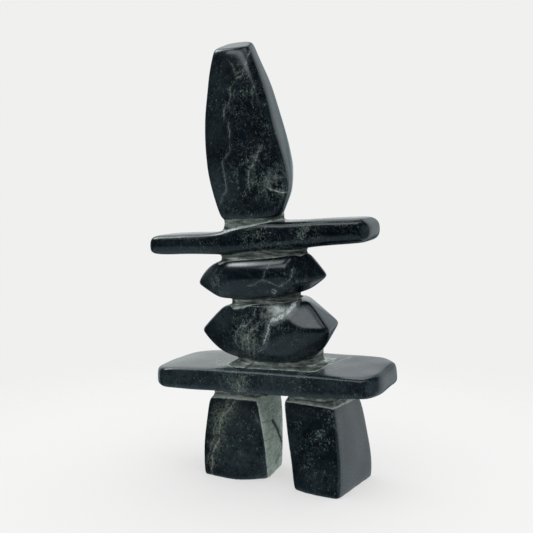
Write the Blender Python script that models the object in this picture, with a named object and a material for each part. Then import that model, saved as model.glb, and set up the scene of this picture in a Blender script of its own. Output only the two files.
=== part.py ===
"""A standing figure of stacked stones, carved from one block of dark green serpentine.

The "stones" are one piece of rock: the carver planed each of them to flat facets, polished them,
and left a rough, narrower neck between each and the next. So the model is one solid.
Millimetres in the tables, metres in the scene, +Z up, +X to the figure's own left-hand arm,
the front towards -Y, the origin on the floor under the middle of the box.
"""

import math
import random

import bmesh
import bpy
import numpy as np
from mathutils import Vector

MM = 0.001
FIGURE_HEIGHT = 300.0  # floor to the tip of the head stone
DRAWN_HEIGHT = 303.77  # the same in the tables below, before scaling
DRAWN_MIDDLE = (-4.9, -0.48)  # what the tables call x, y at the middle of the box
SCALE = FIGURE_HEIGHT / DRAWN_HEIGHT * MM

BALL_RINGS = 3  # rings of points from a ball's equator to its pole
BALL_SIDES = 12
SMOOTH_ANGLE = math.radians(32)
FLATTEST_CORNER = 0.15  # a corner flatter than this only moves its ball straight in
SHORTEST_EDGE = 0.3
FLAT_ANGLE = math.radians(1.5)
SOLE_DEPTH = 0.4  # the soles were rubbed flat on a slab: everything lower than this is ground to the floor
NECK_SIDES = 22
NECK_RINGS = 4
NECK_CHIP = 0.8  # how far the chisel wandered, in and out

# Each polished stone is what is left of the block inside its corners: (x, y, z) in mm. "arris" is
# the radius of its rubbed edges, and the hull of a ball in each corner is the stone.
HEAD = {
    "arris": 4.5,
    "crown": [(-42.0, -11.5, 299.0), (-15.0, -12.5, 299.9), (-39.0, 3.0, 303.5), (-20.0, 5.5, 305.26)],
    "brow": [(-46.8, -14.0, 279.0), (-7.0, -15.0, 281.0), (-42.5, 7.0, 280.0), (-10.0, 8.0, 283.0)],
    "cheek": [(-47.8, -16.5, 250.0), (6.4, -18.0, 248.0), (-44.0, 11.0, 250.0), (1.6, 10.5, 249.0)],
    "jaw": [(-46.3, -17.5, 223.0), (13.8, -19.0, 222.0), (-42.0, 12.0, 223.0), (9.0, 11.5, 220.0)],
    "chin": [(-42.6, -16.5, 205.0), (13.4, -18.0, 204.0), (-38.0, 10.5, 205.0), (8.6, 10.5, 203.0)],
    "foot": [(-35.8, -14.0, 182.0), (7.4, -15.5, 184.8), (-32.0, 9.0, 181.5), (1.8, 8.5, 183.4)],
}
RIGHT_ARM = {
    "arris": 3.5,
    "hand": [(-95.9, -9.0, 157.0), (-95.9, 8.0, 157.0), (-95.9, -9.0, 165.5), (-95.9, 7.0, 165.5),
             (-86.0, -17.5, 155.8), (-88.0, 15.0, 156.0), (-86.0, -17.5, 168.6), (-88.0, 14.5, 168.4)],
    "elbow": [(-49.0, -17.5, 157.4), (-49.0, 15.5, 157.6), (-49.0, -17.5, 171.0), (-49.0, 15.0, 171.2)],
    "shoulder": [(-8.0, -17.5, 161.4), (-8.0, 15.5, 161.6), (-8.0, -17.0, 174.5), (-8.0, 14.5, 174.5)],
}
LEFT_ARM = {
    "arris": 3.5,
    "shoulder": [(-44.0, -17.0, 158.6), (-44.0, 15.0, 158.8), (-44.0, -15.0, 169.5), (-44.0, 13.0, 169.5),
                 (-30.0, -17.5, 157.6), (-30.0, 15.5, 157.8), (-30.0, -17.5, 175.6), (-30.0, 15.0, 175.6),
                 (-18.0, -17.5, 179.0), (-18.0, 15.0, 179.0)],
    "elbow": [(27.0, -17.5, 164.6), (27.0, 15.5, 164.8), (14.0, -17.5, 182.0), (14.0, 15.0, 182.2)],
    "hand": [(68.5, -17.0, 170.6), (66.0, 15.0, 170.8), (68.0, -16.5, 185.0), (64.0, 14.5, 185.4),
             (74.0, -8.0, 172.8), (73.5, 9.0, 172.6), (74.0, -8.0, 181.5), (73.5, 9.0, 182.5)],
}
CHEST = {
    "arris": 1.6,
    "top": [(-36.5, -10.0, 153.4), (-30.0, -15.2, 154.4), (0.0, -17.2, 157.8), (21.0, -16.2, 159.8),
            (28.2, -4.0, 160.2), (23.0, 7.0, 160.0), (15.0, 13.0, 159.8), (-33.0, 14.0, 154.2)],
    "shoulders": [(0.0, -20.2, 155.4), (20.0, -19.4, 157.2), (-28.0, -21.0, 148.2), (-6.0, -24.2, 151.2),
                  (19.0, -23.4, 153.2), (-47.8, -7.0, 149.0), (-50.4, 6.0, 148.0), (-57.6, -2.0, 140.8),
                  (-12.0, 21.4, 150.2), (16.0, 19.4, 154.2)],
    "ridge": [(-62.6, 0.0, 133.4), (-40.8, -16.2, 141.4), (-22.0, -23.0, 142.4), (-8.0, -25.6, 143.6),
              (18.0, -25.2, 145.8), (28.4, -19.4, 142.2), (41.4, 1.0, 144.8), (24.2, 20.0, 145.4),
              (-12.0, 25.0, 141.0), (-47.2, 18.4, 136.5)],
    "bottom": [(-41.6, -4.0, 125.4), (-37.7, -12.8, 126.0), (-4.0, -17.8, 127.4), (17.5, -16.0, 131.0),
               (25.6, -6.0, 133.0), (24.8, 4.0, 133.2), (16.0, 13.2, 131.2), (-33.2, 13.8, 125.0)],
}
BELLY = {
    "arris": 1.6,
    "top": [(-37.2, -4.0, 120.6), (-33.2, -11.2, 121.8), (10.0, -21.2, 125.8), (17.0, -19.4, 126.6),
            (33.6, -14.8, 128.6), (25.0, 6.0, 129.6), (17.0, 16.6, 129.4), (-34.2, 13.2, 120.8)],
    "shoulders": [(-48.8, -3.0, 109.8), (-24.0, 23.4, 113.4), (22.0, 22.9, 116.4), (13.5, -24.8, 117.6)],
    "ridge": [(-60.0, 0.0, 99.8), (-42.2, -12.0, 100.0), (-17.0, -20.0, 104.0), (12.6, -25.5, 110.6),
              (29.5, -28.2, 112.3), (50.1, -20.8, 111.6), (47.4, 6.8, 113.4), (28.0, 23.5, 108.0),
              (-10.0, 28.0, 104.0), (-42.2, 18.4, 101.0)],
    "hollow": [(-52.1, -4.2, 97.0), (-17.0, -20.1, 92.2), (43.9, -12.7, 97.6), (41.4, 1.0, 107.0)],
    "bottom": [(-43.2, -6.0, 88.2), (-31.2, -11.2, 85.0), (-19.0, -14.8, 84.6), (2.0, -19.4, 85.8),
               (24.2, -19.4, 87.2), (35.8, -14.8, 90.4), (31.7, -2.0, 92.0), (25.2, 16.2, 88.0),
               (-28.2, 14.8, 85.6)],
}
HIPS = {
    "arris": 3.6,
    "top": [(-74.4, -31.0, 77.6), (-85.6, -20.0, 75.6), (-86.4, 3.0, 76.6), (-82.2, 22.8, 78.0),
            (-70.4, 30.0, 79.2), (78.2, -31.0, 85.0), (85.3, -20.0, 85.8), (84.8, 18.4, 87.2),
            (73.4, 30.0, 87.6), (24.0, 30.0, 87.0)],
    "underside": [(-74.4, -31.0, 60.8), (-85.8, -20.0, 60.2), (-86.4, 3.0, 60.8), (-81.2, 22.3, 62.2),
                  (-66.4, 29.3, 62.8), (81.9, -31.0, 69.6), (86.4, -18.0, 70.6), (86.2, 18.4, 72.2),
                  (76.4, 30.0, 71.4), (10.0, -31.0, 64.6), (10.0, 30.0, 65.0)],
}
RIGHT_LEG = {
    "arris": 3.0,
    "top": [(-44.8, -16.2, 55.0), (-4.4, -15.6, 59.6), (-3.1, 20.6, 58.0), (-42.0, 19.8, 54.5)],
    "shin": [(-47.3, -21.2, 16.0), (-20.0, -23.6, 26.0), (3.4, -15.6, 17.0), (-1.9, 23.8, 16.0),
             (-46.2, 22.8, 16.0)],
    "foot": [(-44.9, -23.3, 0.0), (-17.0, -24.3, 0.0), (1.6, -10.4, 0.0), (-1.9, 22.3, 0.0),
             (-43.6, 22.3, 0.0)],
}
LEFT_LEG = {
    "arris": 3.0,
    "top": [(14.9, -18.8, 62.0), (54.0, -20.0, 61.4), (54.7, 28.3, 58.5), (18.4, 27.3, 57.5)],
    "shin": [(22.0, -20.8, 22.0), (60.2, -25.2, 20.0), (64.7, 30.0, 16.0), (23.9, 29.3, 16.0)],
    "foot": [(25.6, -21.3, 0.0), (38.0, -26.6, 0.0), (59.6, -26.6, 0.0), (64.4, 29.0, 0.0),
             (26.4, 28.8, 0.0)],
}
STONES = {
    "head": HEAD, "right_arm": RIGHT_ARM, "left_arm": LEFT_ARM, "chest": CHEST, "belly": BELLY,
    "hips": HIPS, "right_leg": RIGHT_LEG, "left_leg": LEFT_LEG,
}

# Each neck is a rough post: its middle, half its widths, its lowest and highest z, and the power of
# its outline's superellipse (2 is an ellipse, more is squarer). "slope" is its top's rise along x.
NECKS = {
    "head_neck": {"middle": (-14.2, -3.0), "half": (21.4, 12.6), "z": (172.0, 187.0), "power": 2.8},
    "arms_neck": {"middle": (-7.6, -1.0), "half": (31.4, 13.6), "z": (150.0, 168.0), "power": 2.8},
    "chest_neck": {"middle": (-6.0, -1.0), "half": (24.8, 12.8), "z": (116.0, 136.0), "power": 2.7},
    "belly_neck": {"middle": (5.5, -1.0), "half": (30.0, 15.6), "z": (74.0, 95.0), "power": 3.0},
    "hips_shelf": {"middle": (6.6, -1.4), "half": (34.8, 20.8), "z": (74.0, 82.6), "power": 4.5,
                   "slope": 0.052},
    "right_hip": {"middle": (-23.6, 2.5), "half": (21.4, 16.2), "z": (50.0, 70.0), "power": 4.0},
    "left_hip": {"middle": (33.2, 4.0), "half": (17.4, 21.4), "z": (52.0, 72.0), "power": 4.0},
}

SERPENTINE = {"colour": (0.022, 0.030, 0.032, 1.0), "roughness": 0.28}


def clear_scene():
    for old in list(bpy.data.objects):
        bpy.data.objects.remove(old)


def collection(name):
    made = bpy.data.collections.new(name)
    bpy.context.scene.collection.children.link(made)
    return made


def place(x, y, z):
    """A point of the tables, in metres, with the origin under the middle of the box."""
    return Vector((x - DRAWN_MIDDLE[0], y - DRAWN_MIDDLE[1], z)) * SCALE


def stone_material():
    material = bpy.data.materials.new("serpentine")
    material.use_nodes = True
    shader = material.node_tree.nodes["Principled BSDF"]
    shader.inputs["Base Color"].default_value = SERPENTINE["colour"]
    shader.inputs["Roughness"].default_value = SERPENTINE["roughness"]
    shader.inputs["Metallic"].default_value = 0.0
    return material


def blank(name, bm, home):
    """Turns bm into a helper object, which is joined to the figure and not shown by itself."""
    bmesh.ops.recalc_face_normals(bm, faces=bm.faces)
    mesh = bpy.data.meshes.new(name)
    bm.to_mesh(mesh)
    bm.free()
    made = bpy.data.objects.new(name, mesh)
    home.objects.link(made)
    made.hide_render = True
    made.display_type = "WIRE"
    return made


def ball_points(centre, radius):
    """Points of a small ball, its poles and rings of latitude, in mm."""
    points = [(centre[0], centre[1], centre[2] + radius), (centre[0], centre[1], centre[2] - radius)]
    for ring in range(-BALL_RINGS + 1, BALL_RINGS):
        latitude = ring / BALL_RINGS * math.pi / 2
        for side in range(BALL_SIDES):
            turn = side / BALL_SIDES * 2 * math.pi
            points.append((
                centre[0] + radius * math.cos(latitude) * math.cos(turn),
                centre[1] + radius * math.cos(latitude) * math.sin(turn),
                centre[2] + radius * math.sin(latitude),
            ))
    return points


def ball_centre(corner, radius):
    """Where a ball of this radius touches every face that meets at a corner of the hull."""
    normals = np.array([face.normal for face in corner.link_faces])
    shift = np.linalg.lstsq(normals, np.full(len(normals), -radius), rcond=FLATTEST_CORNER)[0]
    return corner.co + Vector(shift)


def stretched_over(bm, points):
    """Makes bm the hull of the points, its nearly flat facets merged."""
    for point in points:
        bm.verts.new(point)
    hull = bmesh.ops.convex_hull(bm, input=bm.verts)
    inside = [item for item in hull["geom_interior"] if isinstance(item, bmesh.types.BMVert)]
    bmesh.ops.delete(bm, geom=inside, context="VERTS")
    bmesh.ops.dissolve_limit(bm, angle_limit=FLAT_ANGLE, verts=bm.verts, edges=bm.edges)
    bmesh.ops.recalc_face_normals(bm, faces=bm.faces)


def faceted_stone(name, stone, home):
    """The flat-sided solid stretched over a ball in each of the stone's corners."""
    corners = [point for key, group in stone.items() if key != "arris" for point in group]
    sharp = bmesh.new()
    stretched_over(sharp, corners)
    balls = [ball_points(ball_centre(corner, stone["arris"]), stone["arris"]) for corner in sharp.verts]
    sharp.free()
    bm = bmesh.new()
    stretched_over(bm, [point for ball in balls for point in ball])
    bmesh.ops.remove_doubles(bm, verts=bm.verts, dist=SHORTEST_EDGE)
    for vert in bm.verts:
        ground = 0.0 if vert.co.z < SOLE_DEPTH else vert.co.z
        vert.co = place(vert.co.x, vert.co.y, ground)
    return blank(name, bm, home)


def chiselled_neck(name, neck, home, seed):
    """A squarish post whose rings wander in and out a little, as a chisel leaves them."""
    chisel = random.Random(seed)
    (low, high), (half_x, half_y) = neck["z"], neck["half"]
    bm = bmesh.new()
    bmesh.ops.create_cone(bm, cap_ends=True, segments=NECK_SIDES, radius1=1.0, radius2=1.0, depth=1.0)
    uprights = [edge for edge in bm.edges if abs(edge.verts[0].co.z - edge.verts[1].co.z) > 0.5]
    bmesh.ops.subdivide_edges(bm, edges=uprights, cuts=NECK_RINGS, use_grid_fill=True)
    for vert in bm.verts:
        share = vert.co.z + 0.5
        angle = math.atan2(vert.co.y, vert.co.x)
        cosine, sine = math.cos(angle), math.sin(angle)
        power = neck["power"]
        reach = (abs(cosine) ** power + abs(sine) ** power) ** (-1 / power)  # a circle drawn towards a square
        chip = chisel.uniform(-NECK_CHIP, NECK_CHIP)
        across = (half_x + chip) * reach * cosine
        along = (half_y + chip) * reach * sine
        rise = high - low + neck.get("slope", 0.0) * across
        vert.co = place(neck["middle"][0] + across, neck["middle"][1] + along, low + rise * share)
    return blank(name, bm, home)


def carved_figure(home, blanks):
    """One body of rock: the hips joined with every other stone and neck."""
    base = blanks.pop("hips")
    figure = bpy.data.objects.new("carved_stone_figure", base.data.copy())
    home.objects.link(figure)
    for name, other in blanks.items():
        join = figure.modifiers.new("one rock with " + name, "BOOLEAN")
        join.operation = "UNION"
        join.solver = "EXACT"
        join.object = other
    bpy.data.objects.remove(base)
    return figure


def main():
    clear_scene()
    home = collection("stone_figure")
    helpers = collection("stone_blanks")
    blanks = {name: faceted_stone(name, stone, helpers) for name, stone in STONES.items()}
    for seed, (name, neck) in enumerate(NECKS.items()):
        blanks[name] = chiselled_neck(name, neck, helpers, seed)
    figure = carved_figure(home, blanks)
    figure.data.materials.append(stone_material())
    figure.data.shade_smooth()
    figure.data.set_sharp_from_angle(angle=SMOOTH_ANGLE)


main()
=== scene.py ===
# A standing figure of stacked stones, carved from one block of dark green serpentine.
# The stones' tables are in drawn millimetres, and place() brings them into the frame, in metres.
import math

import bmesh
import bpy
import numpy as np
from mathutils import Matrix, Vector


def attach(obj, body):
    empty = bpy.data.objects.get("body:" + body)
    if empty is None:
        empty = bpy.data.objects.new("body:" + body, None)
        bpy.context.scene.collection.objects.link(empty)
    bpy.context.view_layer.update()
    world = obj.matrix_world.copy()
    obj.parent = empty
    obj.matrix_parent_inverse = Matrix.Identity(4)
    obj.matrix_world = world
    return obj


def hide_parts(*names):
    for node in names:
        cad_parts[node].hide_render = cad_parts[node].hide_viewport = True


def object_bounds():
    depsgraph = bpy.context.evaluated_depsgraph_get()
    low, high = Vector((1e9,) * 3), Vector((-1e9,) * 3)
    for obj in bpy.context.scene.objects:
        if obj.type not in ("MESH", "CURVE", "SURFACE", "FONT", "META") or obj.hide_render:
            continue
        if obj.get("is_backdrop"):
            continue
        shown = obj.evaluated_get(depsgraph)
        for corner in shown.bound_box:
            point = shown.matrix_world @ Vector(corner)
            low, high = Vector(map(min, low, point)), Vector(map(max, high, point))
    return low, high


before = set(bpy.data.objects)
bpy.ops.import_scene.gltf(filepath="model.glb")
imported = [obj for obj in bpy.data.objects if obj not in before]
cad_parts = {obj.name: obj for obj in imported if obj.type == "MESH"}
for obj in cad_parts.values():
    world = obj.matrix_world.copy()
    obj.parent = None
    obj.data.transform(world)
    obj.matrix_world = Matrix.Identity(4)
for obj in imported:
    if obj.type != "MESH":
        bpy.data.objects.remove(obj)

cadLow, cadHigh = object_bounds()

drawing = {
    "middle": (-4.9, -0.48, 0.0),  # the tables' point that stands on the frame's origin
    "height": 303.77,  # of the whole figure, from the floor to its crown
}
unit = (cadHigh.z - cadLow.z) / drawing["height"]  # metres to a drawn millimetre


def place(points):
    # drawn millimetres to the frame's metres
    return (np.asarray(points, float) - drawing["middle"]) * unit


# A stone is a field: a number at each point, under 0 inside the stone and over 0 outside, in mm.
# A flat cut is the distance past the cut's plane, and a stone is the greatest of its cuts. The
# greatest is taken softly, which rubs its arrises round, by the stone's "rub" in mm.


def softGreatest(stack, rub):
    # log of the summed exponentials: the greatest of the rows, rounded over about rub mm
    most = stack.max(0)
    return most + rub * np.log(np.exp((stack - most) / rub).sum(0))


def softLeast(stack, fillet):
    # the least of the rows, rounded over about fillet mm
    return -softGreatest(-stack, fillet)


regrow = 0.6  # of the rub: how far a rubbed stone is grown, so its corners stay where they are drawn


def through(t, knots, heights):
    # a smooth line through the knots: cubic pieces that share their slopes, straight past the ends
    knots, heights = np.asarray(knots, float), np.asarray(heights, float)
    slopes = np.gradient(heights, knots)
    inside = np.clip(t, knots[0], knots[-1])
    i = np.clip(np.searchsorted(knots, inside) - 1, 0, len(knots) - 2)
    span = knots[i + 1] - knots[i]
    s = (inside - knots[i]) / span
    bend = (heights[i] * (1 + 2 * s) * (1 - s) ** 2 + slopes[i] * span * s * (1 - s) ** 2
            + heights[i + 1] * s ** 2 * (3 - 2 * s) + slopes[i + 1] * span * s ** 2 * (s - 1))
    return bend + slopes[np.where(t > knots[0], -1, 0)] * (t - inside)


def waves(points, length, count, seed):
    # an uneven swell: the mean of plane waves of 0.7 to 1.4 times this length, in all directions,
    # scaled up to reach from about -1 to 1
    draw = np.random.default_rng(seed)
    aim = draw.normal(size=(count, 3))
    aim *= (2 * math.pi / length * draw.uniform(0.7, 1.4, count) / np.linalg.norm(aim, axis=1))[:, None]
    phase = draw.uniform(0, 2 * math.pi, count)
    return np.cos(points @ aim.T + phase).mean(1) * math.sqrt(count) / 1.6


def cutsThrough(corners):
    # the flat cuts that leave these corners standing: the planes of their hull, one for each facet
    bm = bmesh.new()
    for corner in corners:
        bm.verts.new(corner)
    hull = bmesh.ops.convex_hull(bm, input=bm.verts)
    inside = [item for item in hull["geom_interior"] if isinstance(item, bmesh.types.BMVert)]
    bmesh.ops.delete(bm, geom=inside, context="VERTS")
    flat = math.radians(2.0)  # triangles that lean apart less than this are one facet
    bmesh.ops.dissolve_limit(bm, angle_limit=flat, verts=bm.verts, edges=bm.edges)
    bmesh.ops.recalc_face_normals(bm, faces=bm.faces)
    normals = np.array([face.normal for face in bm.faces])
    middles = np.array([face.calc_center_median() for face in bm.faces])
    bm.free()
    return normals, (normals * middles).sum(1)


def cutStone(stone):
    # the greatest of the stone's cuts, grown by what the rubbing takes off its corners
    normals, past = cutsThrough(stone["corners"])

    def field(points):
        return softGreatest(normals @ points.T - past[:, None], stone["rub"]) - stone["rub"] * regrow
    return field


head = {
    "centre": (-17.0, -4.0, 236.0), "half": (30.0, 16.0, 62.0), "rub": 1.5,
    "heights": (182.0, 192.0, 203.0, 216.0, 230.0, 243.0, 262.0, 280.0, 297.0),
    "left": (-33.6, -37.0, -39.9, -42.5, -43.9, -44.3, -43.7, -42.4, -40.6),
    "right": (8.5, 13.0, 16.6, 15.4, 11.3, 6.6, 0.7, -6.1, -14.4),
    "front": (-14.6, -15.8, -17.0, -18.0, -18.4, -18.2, -17.0, -15.2, -12.4),
    "back": (8.6, 9.6, 10.6, 11.4, 11.4, 10.8, 9.4, 7.6, 5.6),
    # how much each side draws in, for a millimetre towards the back
    "leftTaper": 0.13, "rightTaper": (0.45, 0.42, 0.36, 0.24, 0.17, 0.13, 0.13, 0.13, 0.13),
    "arrisCut": 2.6,  # how deep the long arris between the front and the right side is cut off
    "crown": [(-42.0, -11.5, 297.6), (-15.0, -12.5, 297.6), (-37.5, 3.0, 302.2)],
    "foot": 183.2, "footAt": -17.0, "footSlope": 0.062,  # the underside's height at this x, and its rise
    "bow": 1.6, "backBow": 0.6,  # how far the middle of the front is proud of its edges; the back's share
    "bulge": 0.15,  # the right side's taper at its front edge, as a share of its mean taper
}


def headField(points):
    # left, right, front and back are smooth lines up the stone, the crown a sloping cut
    x, y, z = points.T
    sides = ("left", "right", "front", "back")
    left, right, front, back = (through(z, head["heights"], head[side]) for side in sides)
    across = (2 * x - left - right) / (right - left)
    bow = head["bow"] * (1 - across ** 2)
    inLeft = head["leftTaper"] * (y - front)
    inRight = through(z, head["heights"], head["rightTaper"]) * (y - front)
    inRight = inRight * (head["bulge"] + (1 - head["bulge"]) * (y - front) / (back - front))
    a, b, c = (np.array(corner) for corner in head["crown"])
    up = np.cross(b - a, c - a)
    up /= np.linalg.norm(up)
    cuts = np.stack([
        left + inLeft - x, x - right + inRight, front - bow - y, y - back - bow * head["backBow"],
        (x - right + inRight + front - y + head["arrisCut"]) * math.sqrt(0.5),
        (points - a) @ up, head["foot"] + head["footSlope"] * (x - head["footAt"]) - z,
    ])
    return softGreatest(cuts, head["rub"]) - head["rub"] * regrow


arms = {
    "centre": (-10.0, -1.0, 170.0), "half": (86.0, 16.0, 9.0), "rub": 1.2,
    "lengths": (-97.0, -87.0, -66.0, -49.0, -37.0, -27.0, -16.0, -4.0, 14.0, 30.0, 49.0, 74.0),
    "top": (166.9, 167.9, 169.8, 170.8, 172.4, 175.0, 178.0, 180.0, 181.2, 182.6, 184.0, 185.8),
    "bottom": (154.9, 154.8, 156.2, 157.0, 157.5, 158.0, 159.3, 160.9, 163.3, 165.1, 167.9, 170.6),
    "front": (-16.5, -17.4, -17.8, -17.8, -17.8, -17.8, -17.8, -17.8, -17.8, -17.6, -17.4, -16.6),
    "back": (13.0, 14.6, 15.2, 15.4, 15.4, 15.4, 15.4, 15.4, 15.4, 15.2, 14.8, 14.0),
    "ends": (-95.2, 73.2),
    # two sides, and how deep the edge that they share is cut off
    "edges": [("up", "out", 2.38), ("down", "out", 4.2), ("up", "behind", 3.4), ("down", "behind", 4.2),
              ("start", "out", 5.0), ("start", "behind", 5.0), ("stop", "out", 5.0), ("stop", "behind", 3.0),
              ("start", "up", 4.4), ("start", "down", 1.6), ("stop", "up", 4.9), ("stop", "down", 2.6)],
}


def armsField(points):
    # a bar whose top and underside are smooth lines along it, with its long edges and ends cut off
    x, y, z = points.T
    lines = ("top", "bottom", "front", "back")
    top, bottom, front, back = (through(x, arms["lengths"], arms[line]) for line in lines)
    past = {"up": z - top, "down": bottom - z, "out": front - y, "behind": y - back,
            "start": arms["ends"][0] - x, "stop": x - arms["ends"][1]}
    bevels = [(past[one] + past[two] + deep) * math.sqrt(0.5) for one, two, deep in arms["edges"]]
    return softGreatest(np.stack([*past.values(), *bevels]), arms["rub"]) - arms["rub"] * regrow


chest = {
    "centre": (-8.0, 0.0, 142.0), "half": (44.0, 22.0, 15.0), "rub": 0.95,
    "corners": [
        (-36.5, -10, 153), (-30, -15, 154), (0, -17, 157.4), (21, -16, 159.4), (0, -19.8, 155.2),
        (20, -19, 157), (28.2, -4, 160), (23, 7, 159.8), (15, 13, 159.4), (-33, 14, 154), (-28, -20.6, 148),
        (-6, -23.8, 151), (19, -23, 153), (-47.5, -7, 148.6), (-50, 6, 147.6), (-57.2, -2, 140.6),
        (-12, 21, 150), (16, 19, 154), (-62.2, 0, 133.4), (-40.5, -15.8, 141.4), (-22, -22.6, 142.4),
        (-8, -25.2, 143.6), (18, -24.8, 145.8), (28.2, -19, 142.2), (41, 1, 144.8), (24, 19.5, 145.4),
        (-12, 24.5, 141), (-47, 18, 136.5), (-41.4, -4, 125.8), (-37.5, -12.5, 126.4), (-4, -17.4, 127.8),
        (17.5, -15.6, 131.4), (25.4, -6, 133.4), (24.6, 4, 133.6), (16, 13, 131.6), (-33, 13.5, 125.4),
    ],
}
belly = {
    "centre": (-2.0, 0.0, 105.0), "half": (46.0, 20.0, 18.0), "rub": 0.95,
    "corners": [
        (-37, -4, 120.3), (-33, -11, 121.4), (10, -20.8, 125.4), (17, -19, 126.2), (33.4, -14.5, 128.2),
        (24.8, 6, 129.2), (16.8, 16.5, 129), (-34, 13, 120.4), (-48.5, -3, 109.4), (-24, 23, 113),
        (22, 22.5, 116), (-59.6, 0, 99.8), (-42, -11.6, 100), (13.5, -24.3, 117.4), (12.6, -25, 110.2),
        (29.4, -27.6, 111.6), (49.6, -20.6, 111.2), (47, 6.5, 113.4), (28, 23, 108), (-10, 27.5, 104),
        (-42, 18, 101), (-51.8, -4, 97.2), (-17, -19.6, 92.4), (43.5, -12.5, 97.8), (41, 1, 107),
        (-43, -6, 88.6), (-31, -11, 85.4), (-19, -14.5, 85), (2, -19, 86.2), (24, -19, 87.6),
        (35.5, -14.6, 90.8), (31.5, -2, 92.4), (25, 16, 88.4), (-28, 14.5, 86),
    ],
}
hips = {
    "centre": (0.0, 0.0, 73.5), "half": (84.0, 29.0, 9.0), "rub": 1.5,
    "corners": [
        (-74, -29.8, 76.8), (-84.4, -20, 74.8), (-85.2, 3, 75.8), (-81, 22, 77.2), (-70, 29.4, 78.4),
        (77.6, -29.8, 84.2), (84.4, -20, 85), (83.8, 18, 86.4), (73, 29.4, 86.8), (24, 29.4, 86.2),
        (-74, -29.8, 61.4), (-84.6, -20, 60.8), (-85.2, 3, 61.4), (-80, 21.5, 62.8), (-66, 28.5, 63.4),
        (81, -29.8, 70.2), (85.5, -18, 71.2), (85.2, 18, 72.8), (76, 29.4, 72), (10, -29.8, 65.4),
        (10, 29.4, 65.6),
    ],
}
rightLeg = {
    "centre": (-22.0, 0.0, 28.0), "half": (24.0, 22.0, 30.0), "rub": 1.35,
    "corners": [
        (-44.6, -16, 55.8), (-4.6, -15.4, 57.4), (-3.5, 20, 57), (-41.5, 19, 53.8), (-41.5, -12, 57.4),
        (-6.8, -11.6, 61), (-7.5, 15.4, 60.4), (-38.6, 14.8, 57), (-46.6, -20.5, 16), (-20, -22.8, 26),
        (2.8, -15, 17), (-2.5, 23, 16), (-45.5, 22, 16), (-44.2, -22.5, -0.6), (-17, -23.5, -0.6),
        (1, -10, -0.6), (-2.5, 21.5, -0.6), (-43, 21.5, -0.6),
    ],
}
leftLeg = {
    "centre": (41.0, 2.0, 29.0), "half": (20.0, 25.0, 30.0), "rub": 1.35,
    "corners": [
        (14.8, -18.2, 60.4), (53.3, -19.6, 60.2), (54, 27.5, 57.6), (18.6, 26.5, 56.6), (18, -14.6, 63),
        (51, -15.6, 61.8), (51.2, 23, 61), (21.4, 22, 60.2), (21.7, -20, 22), (59.5, -24.4, 20),
        (63.9, 30, 16), (24.5, 28.5, 16), (25.3, -20.5, -0.6), (38, -25.8, -0.6), (59, -25.8, -0.6),
        (63.6, 28.2, -0.6), (27, 28, -0.6),
    ],
}
# The rough necks that were left between the stones: the middle of each, half its widths, its
# lowest and highest z, how square it is (2 is an ellipse), how much it spreads downwards, how wide
# a collar round it the polish doesn't reach, the stones it stands on and under, and how much wider
# that collar is on the one below. The shelf's top also slopes along x, as the hips' does.
necks = {
    "headNeck": {"middle": (-14.2, -3.0), "half": (21.4, 12.6), "z": (172.0, 187.0),
                 "square": 2.8, "spread": 0.1, "collar": 1.2,
                 "between": ("arms", "head"), "ledge": 0.0},
    "armsNeck": {"middle": (-7.6, -1.0), "half": (31.4, 13.6), "z": (150.0, 168.0),
                 "square": 2.8, "spread": 0.0, "collar": 0.8,
                 "between": ("chest", "arms"), "ledge": 1.6},
    "chestNeck": {"middle": (-6.0, -1.0), "half": (24.8, 12.8), "z": (116.0, 136.0),
                  "square": 2.7, "spread": 0.05, "collar": 0.8,
                  "between": ("belly", "chest"), "ledge": 1.2},
    "bellyNeck": {"middle": (5.5, -1.0), "half": (30.0, 15.6), "z": (74.0, 95.0),
                  "square": 3.0, "spread": 0.05, "collar": 0.7,
                  "between": ("hips", "belly"), "ledge": 0.4},
    "hipsShelf": {"middle": (6.6, -1.4), "half": (34.8, 20.8), "z": (74.0, 82.3),
                  "square": 4.5, "spread": 0.0, "collar": 1.0, "slope": 0.052,
                  "between": ("hips", "belly"), "ledge": 0.3},
    "rightHip": {"middle": (-23.6, 2.5), "half": (21.4, 16.2), "z": (50.0, 70.0),
                 "square": 4.0, "spread": 0.0, "collar": 1.5,
                 "between": ("rightLeg", "hips"), "ledge": 0.3},
    "leftHip": {"middle": (33.2, 4.0), "half": (17.4, 21.4), "z": (52.0, 72.0),
                "square": 4.0, "spread": 0.0, "collar": 0.7,
                "between": ("leftLeg", "hips"), "ledge": 0.3},
}
chiselling = {"sides": 18, "wander": 0.5, "tilt": 0.9, "rub": 0.5}  # the cuts round a neck, all in mm


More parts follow.
